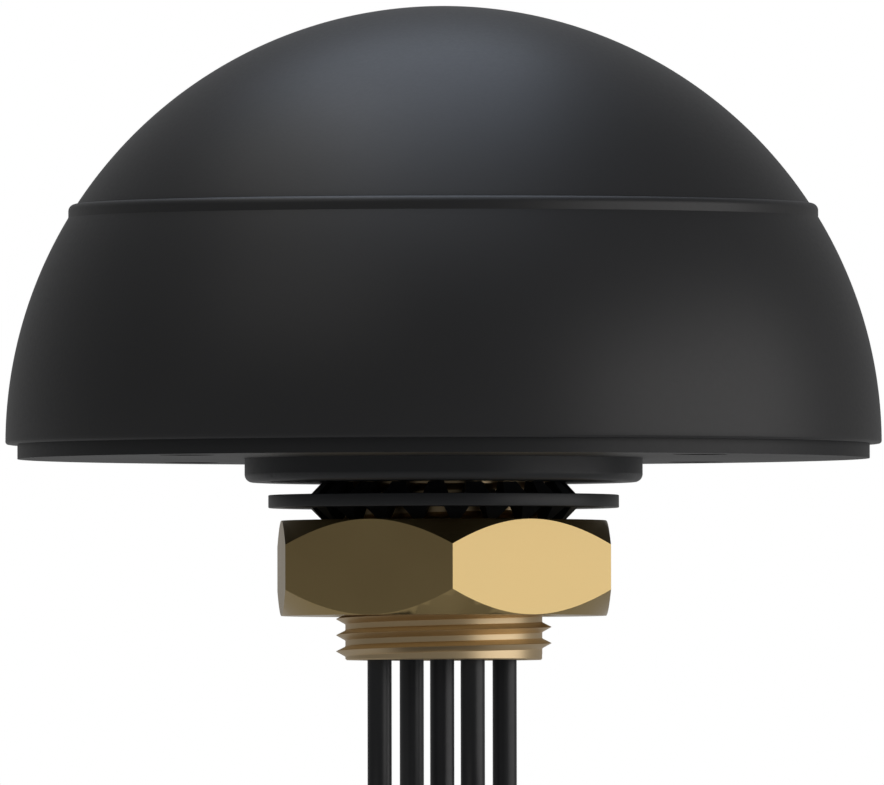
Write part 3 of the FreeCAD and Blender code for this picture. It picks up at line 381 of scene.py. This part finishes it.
WASHER_RADIUS = 16.29
WASHER_BORE = 10.35
WASHER_FACES = (-1.18, -2.37)
CROWN_HEIGHT = 1.15
CROWN_ROOT = 12.45
CROWN_TIP = 11.3
TEETH = 20
WASHER_TURN = 5.6
TOOTH_SUNK = 0.1

# Half a tooth's width at the ring, and at the tip on the upper (1) and the lower (-1) face
TOOTH_HALF_ROOT = 1.25
TOOTH_HALF_TIP = {1: 0.8, -1: 0.45}


def washer_tooth(angle, face, side):
    """One tooth: wide where it leaves the ring, narrow at the tip, its outside sloping in."""
    mesh = bmesh.new()
    bmesh.ops.create_cube(mesh, size=2)
    for corner in mesh.verts:
        across, out, along = corner.co
        tip = along > 0
        reach = (CROWN_TIP if tip else CROWN_ROOT) if out > 0 else WASHER_BORE
        half = (TOOTH_HALF_TIP[side] if tip else TOOTH_HALF_ROOT) * reach / CROWN_ROOT
        height = face + side * (CROWN_HEIGHT if tip else -TOOTH_SUNK)
        corner.co = Vector((across * half, reach, height)) * MM
    bmesh.ops.rotate(mesh, verts=mesh.verts, cent=(0, 0, 0),
                     matrix=Matrix.Rotation(math.radians(angle), 3, "Z"))
    return mesh


def toothed_ring():
    """The washer's flat ring with a crown of teeth on each face."""
    top, bottom = WASHER_FACES
    round_off = 0.08
    ring = Outline(WASHER_BORE, bottom)
    ring.line(WASHER_RADIUS - round_off, bottom)
    ring.arc(WASHER_RADIUS - round_off, bottom + round_off, -90, steps=3)
    ring.line(WASHER_RADIUS, top - round_off)
    ring.arc(WASHER_RADIUS - round_off, top - round_off, -90, steps=3)
    mesh = ring.line(WASHER_BORE, top).close().turn(steps=192)
    step = 360 / TEETH
    for number in range(TEETH):
        join_into(mesh, washer_tooth(WASHER_TURN + step * number + step / 2, top, 1))
        join_into(mesh, washer_tooth(WASHER_TURN + step * number, bottom, -1))
    return finish_mesh(mesh, "washer")


washer = toothed_ring()
stand_for(washer, "antenna", "washer_steel", "toothed_washer")


# Nut, with its edges broken. It is smooth all over, and its flats lead the shading.

NUT_EDGE = 0.11
FLATS_WEIGHT = 100

nut = finish_mesh(break_edges(merged_copy("hex_nut"), NUT_EDGE), "nut", crease=180)
flats_first = nut.modifiers.new("flats_first", "WEIGHTED_NORMAL")
flats_first.mode = "FACE_AREA"
flats_first.weight = FLATS_WEIGHT
stand_for(nut, "antenna", "nut_brass", "hex_nut")


# Stud with its thread cut

STUD_RADIUS = 10.0
STUD_BORE = 7.9
STUD_BOTTOM = -16.5
STUD_TOP = 4.4
STUD_CHAMFER = 0.1
HEAD_FLATS = 27
HEAD_HEIGHT = 3.4
HEAD_MIDDLE = 6.1
HEAD_INSET = 4

THREAD_ROOT = 9.15
THREAD_PITCH = 1.5
THREAD_TOP = -0.2
ROOT_FLAT = 0.5

# How far up a pitch its crest stands, the first crest's height and angle, and the degrees
# over which that crest rises from the root
CREST = 1.02
FIRST_CREST = -15.9
FIRST_ANGLE = 130.0
RUN_OUT = 35.0


def threaded_shank():
    """One pitch of the thread, spun up the shank; the first crest rises from the root."""
    turns = 11
    steps = 96
    foot_out, foot_up = 0.06, 0.07
    crest_round = 0.03
    start = FIRST_CREST - CREST
    section = Outline(THREAD_ROOT, start)
    section.line(THREAD_ROOT, start + ROOT_FLAT)
    section.line(THREAD_ROOT + foot_out, start + ROOT_FLAT + foot_up)
    section.line(STUD_RADIUS - crest_round, start + CREST - crest_round)
    section.line(STUD_RADIUS, start + CREST)
    section.line(STUD_RADIUS - crest_round, start + CREST + crest_round)
    section.line(THREAD_ROOT + foot_out, start + THREAD_PITCH - foot_up)
    section.line(THREAD_ROOT, start + THREAD_PITCH)
    mesh = section.mesh
    bmesh.ops.rotate(mesh, verts=mesh.verts, cent=(0, 0, 0),
                     matrix=Matrix.Rotation(math.radians(FIRST_ANGLE), 3, "Z"))
    bmesh.ops.spin(mesh, geom=mesh.verts[:] + mesh.edges[:], cent=(0, 0, 0), axis=(0, 0, 1),
                   angle=2 * math.pi * turns, steps=steps * turns,
                   dvec=(0, 0, THREAD_PITCH * MM / steps))
    bmesh.ops.remove_doubles(mesh, verts=mesh.verts, dist=THREAD_JOIN_DISTANCE)
    for height, side in ((STUD_BOTTOM + STUD_CHAMFER, -1), (THREAD_TOP, 1)):
        bmesh.ops.bisect_plane(mesh, geom=mesh.verts[:] + mesh.edges[:] + mesh.faces[:],
                               plane_co=(0, 0, height * MM), plane_no=(0, 0, side),
                               clear_outer=True)
    for vertex in mesh.verts:
        turned = (math.degrees(math.atan2(vertex.co.y, vertex.co.x)) - FIRST_ANGLE) % 360
        first_crest = FIRST_CREST + THREAD_PITCH * turned / 360
        if turned < RUN_OUT and vertex.co.z / MM < first_crest + THREAD_PITCH / 2:
            limit = (THREAD_ROOT + (STUD_RADIUS - THREAD_ROOT) * turned / RUN_OUT) * MM
            vertex.co.xy *= min(1, limit / vertex.co.xy.length)
    return mesh


def stud():
    """The thread round its hollow core, a plain shank above it and the hexagonal head."""
    foot_radius = THREAD_ROOT - 0.12
    core_radius = THREAD_ROOT - 0.02
    shank_radius = STUD_RADIUS - 0.05
    mesh = threaded_shank()
    core = Outline(STUD_BORE, STUD_BOTTOM)
    core.line(foot_radius, STUD_BOTTOM).line(core_radius, STUD_BOTTOM + STUD_CHAMFER)
    core.line(core_radius, THREAD_TOP).line(shank_radius, THREAD_TOP)
    core.line(shank_radius, STUD_TOP).line(STUD_BORE, STUD_TOP)
    core.close().turn(steps=128)
    head = bmesh.new()
    corner = HEAD_FLATS / math.sqrt(3) * MM
    bmesh.ops.create_cone(head, cap_ends=True, segments=6, depth=HEAD_HEIGHT * MM,
                          radius1=corner, radius2=corner,
                          matrix=Matrix.Translation((0, 0, HEAD_MIDDLE * MM))
                          @ Matrix.Rotation(math.pi / 6, 4, "Z"))
    ends = [face for face in head.faces if abs(face.normal.z) > 0.9]
    bmesh.ops.inset_region(head, faces=ends, thickness=HEAD_INSET * MM)
    for part in (core.mesh, head):
        join_into(mesh, part)
    return finish_mesh(mesh, "stud", crease=36)


stud_piece = stud()
stand_for(stud_piece, "antenna", "stud_brass", "threaded_stud")


# Leads move with the antenna and stand for the CAD lead nodes

for number, piece in leads.items():
    stand_for(piece, "antenna", "lead_jacket", f"lead_{number}", f"lead_tail_{number}",
              "lead_coil")


# Materials

def shade(red, green, blue):
    """A colour as it is seen, 0 to 255, as the shader's linear numbers."""
    def linear(level):
        level /= 255
        return level / 12.92 if level <= 0.04045 else ((level + 0.055) / 1.055) ** 2.4
    return (linear(red), linear(green), linear(blue), 1)


class Wire:
    """A socket that carries numbers, with arithmetic that adds Math nodes."""

    def __init__(self, tree, socket):
        self.tree = tree
        self.socket = socket

    def maths(self, operation, *values):
        node = self.tree.nodes.new("ShaderNodeMath")
        node.operation = operation
        for place, value in zip(node.inputs, values):
            if isinstance(value, Wire):
                self.tree.links.new(value.socket, place)
            else:
                place.default_value = value
        return Wire(self.tree, node.outputs[0])

    def __add__(self, other):
        return self.maths("ADD", self, other)

    def __radd__(self, other):
        return self.maths("ADD", other, self)

    def __sub__(self, other):
        return self.maths("SUBTRACT", self, other)

    def __rsub__(self, other):
        return self.maths("SUBTRACT", other, self)

    def __mul__(self, other):
        return self.maths("MULTIPLY", self, other)

    def __rmul__(self, other):
        return self.maths("MULTIPLY", other, self)

    def at_most(self, limit):
        return self.maths("MINIMUM", self, limit)

    def at_least(self, limit):
        return self.maths("MAXIMUM", self, limit)


class NodeTree:
    """A node tree and the one way that its nodes are added."""

    def __init__(self, tree):
        self.tree = tree

    def add(self, kind, settings=None, sockets=None):
        """A node with its settings made first, then its sockets fed with values or links."""
        node = self.tree.nodes.new(kind)
        for word, value in (settings or {}).items():
            setattr(node, word, value)
        for socket, value in (sockets or {}).items():
            self.feed(node.inputs[socket], value)
        return node

    def feed(self, socket, value):
        if isinstance(value, Wire):
            value = value.socket
        if isinstance(value, bpy.types.NodeSocket):
            self.tree.links.new(value, socket)
        else:
            socket.default_value = value


class Finish(NodeTree):
    """A material, and what its shader is fed."""

    def __init__(self, name, constants):
        self.material = bpy.data.materials.new(name)
        self.material.use_nodes = True
        super().__init__(self.material.node_tree)
        self.shader = self.tree.nodes["Principled BSDF"]
        for socket, value in constants.items():
            self.shader.inputs[socket].default_value = value
        self.place = self.add("ShaderNodeTexCoord").outputs["Object"]

    def noise(self, scale, detail=2.0, roughness=0.5, place=None):
        node = self.add("ShaderNodeTexNoise", None,
                        {"Vector": place or self.place, "Scale": scale, "Detail": detail,
                         "Roughness": roughness})
        return Wire(self.tree, node.outputs["Fac"])

    def blend(self, factor, first, second):
        """Colour from first to second as the factor goes from 0 to 1."""
        node = self.add("ShaderNodeMix", {"data_type": "RGBA"}, {0: factor, 6: first, 7: second})
        return node.outputs[2]

    def axis(self, letter):
        node = self.add("ShaderNodeSeparateXYZ", None, {"Vector": self.place})
        return Wire(self.tree, node.outputs[letter])

    def colour(self, value):
        self.feed(self.shader.inputs["Base Color"], value)

    def roughness(self, value):
        self.feed(self.shader.inputs["Roughness"], value)

    def relief(self, height, depth):
        """Bump of a height pattern, its depth in millimetres."""
        node = self.add("ShaderNodeBump", None,
                        {"Strength": 1.0, "Distance": depth * MM, "Height": height})
        self.feed(self.shader.inputs["Normal"], node.outputs["Normal"])


FLOW_SCALE = 45
CLOUD_SCALE = 120
finishes = {}


def moulded(slot, light, dark, gloss, grain=2600, depth=0.006):
    """Moulded plastic or rubber with a fine skin and faint flow marks."""
    finish = finishes[slot] = Finish(slot, {"Specular IOR Level": 0.5})
    skin = finish.noise(grain, detail=3)
    flow = finish.noise(FLOW_SCALE)
    finish.colour(finish.blend(flow, dark, light))
    finish.roughness(gloss + 0.10 * (skin - 0.5) + 0.08 * (flow - 0.5))
    finish.relief(skin, depth)


def machined(slot, light, dark, gloss, lines=5200, depth=0.002):
    """Turned metal: fine rings left by the tool, and slight clouds in the metal."""
    finish = finishes[slot] = Finish(slot, {"Metallic": 1.0})
    height = finish.axis("Z")
    rings = finish.add("ShaderNodeCombineXYZ", None, {"Z": height * lines})
    stripe = finish.noise(1, detail=3, roughness=0.6, place=rings.outputs["Vector"])
    cloud = finish.noise(CLOUD_SCALE, detail=3)
    finish.colour(finish.blend(cloud, dark, light))
    finish.roughness(gloss + 0.06 * (stripe - 0.5) + 0.10 * (cloud - 0.5))
    finish.relief(stripe, depth)


# Light and dark colour, roughness, then how fine the skin or the rings are and how deep
moulded("dome_plastic", shade(34, 34, 35), shade(30, 30, 31), 0.44)
# The base plate's plastic is the dome's, set darker as painted shade on its underside
moulded("base_plastic", shade(24, 25, 27), shade(20, 21, 23), 0.48)
moulded("gasket_rubber", shade(31, 32, 34), shade(27, 28, 30), 0.42, 1900, 0.006)
moulded("seal_rubber", shade(46, 30, 26), shade(38, 24, 21), 0.55)
moulded("lead_jacket", shade(30, 31, 33), shade(24, 25, 27), 0.38, 1500, 0.008)
moulded("sleeve_plastic", shade(30, 30, 32), shade(22, 22, 24), 0.5, 900, 0.02)
moulded("tie_plastic", shade(36, 36, 38), shade(28, 28, 30), 0.4)
moulded("potting", shade(24, 24, 26), shade(16, 16, 18), 0.18, 500, 0.02)
moulded("board", shade(22, 66, 46), shade(14, 50, 34), 0.35, 1200, 0.006)
moulded("blade", shade(196, 140, 74), shade(170, 112, 54), 0.35, 1200, 0.006)
moulded("patch_ceramic", shade(214, 204, 182), shade(196, 186, 164), 0.45)
moulded("insulator", shade(236, 234, 226), shade(222, 220, 212), 0.5)
machined("nut_brass", shade(198, 174, 122), shade(192, 166, 115), 0.25, 5200, 0.0003)
machined("stud_brass", shade(228, 204, 164), shade(218, 193, 152), 0.40, 3000, 0.0005)
moulded("washer_steel", shade(32, 33, 35), shade(24, 25, 27), 0.42, 3200, 0.004)
machined("screw_steel", shade(70, 70, 72), shade(54, 54, 56), 0.34)
machined("bracket_steel", shade(198, 200, 202), shade(174, 176, 178), 0.3)
machined("shield_steel", shade(206, 206, 204), shade(184, 184, 182), 0.32)
machined("contact_gold", shade(226, 194, 124), shade(210, 176, 104), 0.22)


def dress(item, finish):
    """Give a piece or a CAD node one finish all over."""
    if not item.material_slots:
        item.data.materials.append(finish.material)
    for slot in item.material_slots:
        slot.material = finish.material


for part in frame["record"]["subparts"]:
    dress(nodes[part["node"]], finishes[part["material_slot"]])
for item, slot in ((cap, "dome_plastic"), (skirt, "dome_plastic"), (washer, "washer_steel"),
                   (nut, "nut_brass"), (stud_piece, "stud_brass")):
    dress(item, finishes[slot])
for item in leads.values():
    dress(item, finishes["lead_jacket"])


# Floor, world and lamps

FLOOR_HEIGHT = -0.145
FLOOR_HALF = 3

# The floor's glow at its middle, what the distance adds at most, and how much of that each
# metre brings
FLOOR_GLOW = 0.2
FAR_GLOW = 0.5
FAR_RATE = 0.6

TENT_RADIUS = 1.1
TENT_GAP = 0.001
# How brightly the shell round the set glows: everywhere, more behind the object, more below it
TENT_DIM = 0.12
TENT_BACK = 0.19
TENT_FLOOR = 0.18
FILL = 0.35

# Name, azimuth from the camera's side and + to the right, elevation, reach, width, height,
# brightness against a white card, tint
LAMPS = [
    ("top_softbox", 189, 74, 0.8, 0.52, 0.80, 1.42, (0.87, 0.98, 1.18)),
    ("left_top_softbox", 266, 66, 0.85, 0.60, 0.44, 0.88, (1.03, 1.00, 0.94)),
    ("right_softbox", 71, 7, 0.9, 1.2, 0.55, 1.28, (1.02, 1.00, 0.99)),
    ("left_softbox", 316, 36, 0.9, 0.7, 0.38, 0.48, (1.03, 1.00, 0.95)),
    ("front_softbox", 352, 64, 0.9, 0.7, 0.40, 0.62, (0.93, 0.99, 1.09)),
]


def away_from_object(azimuth, elevation):
    """The direction from the object to a lamp."""
    turn, rise = math.radians(azimuth), math.radians(elevation)
    return Vector((math.sin(turn) * math.cos(rise), -math.cos(turn) * math.cos(rise),
                   math.sin(rise)))


def softbox(name, azimuth, elevation, reach, width, height, brightness, tint):
    lamp = bpy.data.lights.new(name, "AREA")
    lamp.shape = "RECTANGLE"
    lamp.size = width
    lamp.size_y = height
    lamp.energy = brightness * math.pi * width * height
    lamp.color = tint
    item = bpy.data.objects.new(name, lamp)
    away = away_from_object(azimuth, elevation)
    item.location = AIM + away * reach
    item.rotation_euler = away.to_track_quat("Z", "Y").to_euler()
    item.visible_camera = False
    scene.collection.objects.link(item)


def mirror_only(card):
    """A card of the set that shows in reflections and does nothing else."""
    card.visible_camera = False
    card.visible_diffuse = False
    card.visible_transmission = False
    card.visible_shadow = False


def stage_mesh(name, mesh, finish):
    """A part of the set that is no part of the object."""
    data = bpy.data.meshes.new(name)
    mesh.to_mesh(data)
    mesh.free()
    item = add_piece(name, data)
    dress(item, finish)
    return item


def floor_sheet():
    """White floor. What the lamps don't light is made up for in the camera's view alone."""
    mesh = bmesh.new()
    bmesh.ops.create_grid(mesh, x_segments=1, y_segments=1, size=FLOOR_HALF)
    bmesh.ops.translate(mesh, verts=mesh.verts, vec=(0, 0, FLOOR_HEIGHT))
    sheet = Finish("floor", {"Base Color": (0.9, 0.9, 0.9, 1), "Roughness": 0.9,
                             "Specular IOR Level": 0.1, "Emission Strength": 1.0})
    span = sheet.add("ShaderNodeVectorMath", {"operation": "LENGTH"}, {0: sheet.place})
    far = (FAR_RATE * Wire(sheet.tree, span.outputs["Value"])).at_most(1)
    rays = sheet.add("ShaderNodeLightPath")
    sheet.feed(sheet.shader.inputs["Emission Color"],
               (FLOOR_GLOW + FAR_GLOW * far) * Wire(sheet.tree, rays.outputs["Is Camera Ray"]))
    stage_mesh("floor", mesh, sheet)


def tent():
    """A dim glowing shell round the set, seen only in reflections, glowing a little brighter
    behind the object and below it.
    """
    mesh = bmesh.new()
    bmesh.ops.create_uvsphere(mesh, u_segments=48, v_segments=24, radius=TENT_RADIUS)
    bmesh.ops.bisect_plane(mesh, geom=mesh.verts[:] + mesh.edges[:] + mesh.faces[:],
                           plane_co=(0, 0, FLOOR_HEIGHT + TENT_GAP), plane_no=(0, 0, 1),
                           clear_inner=True)
    bmesh.ops.holes_fill(mesh, edges=[edge for edge in mesh.edges if edge.is_boundary])
    glow_shell = Finish("tent", {"Base Color": (0, 0, 0, 1), "Roughness": 1.0,
                            "Specular IOR Level": 0.0, "Emission Strength": 1.0})
    # The first is 0 beside the object and grows behind it. The second is 0 down to 40 mm below
    # the roof's plane and 1 from 140 mm down.
    behind = (glow_shell.axis("Y") * (1 / TENT_RADIUS)).at_least(0)
    below = (glow_shell.axis("Z") * -10 - 0.4).at_least(0).at_most(1)
    # The shell's glow, dim beside the object and brighter behind it and below it, is the light
    # that the metal reflects
    glow_shell.feed(glow_shell.shader.inputs["Emission Color"],
               TENT_DIM + TENT_BACK * behind * behind + TENT_FLOOR * below)
    mirror_only(stage_mesh("tent", mesh, glow_shell))


floor_sheet()
tent()
for facts in LAMPS:
    softbox(*facts)

world = bpy.data.worlds.new("studio")
scene.world = world
world.use_nodes = True
sky = NodeTree(world.node_tree)
rays = sky.add("ShaderNodeLightPath")
seen = (Wire(sky.tree, rays.outputs["Is Camera Ray"])
        + Wire(sky.tree, rays.outputs["Is Glossy Ray"])
        + Wire(sky.tree, rays.outputs["Is Transmission Ray"])).at_most(1)
sky.feed(sky.tree.nodes["Background"].inputs["Color"], (1, 1, 1, 1))
sky.feed(sky.tree.nodes["Background"].inputs["Strength"], FILL + (1 - FILL) * seen)
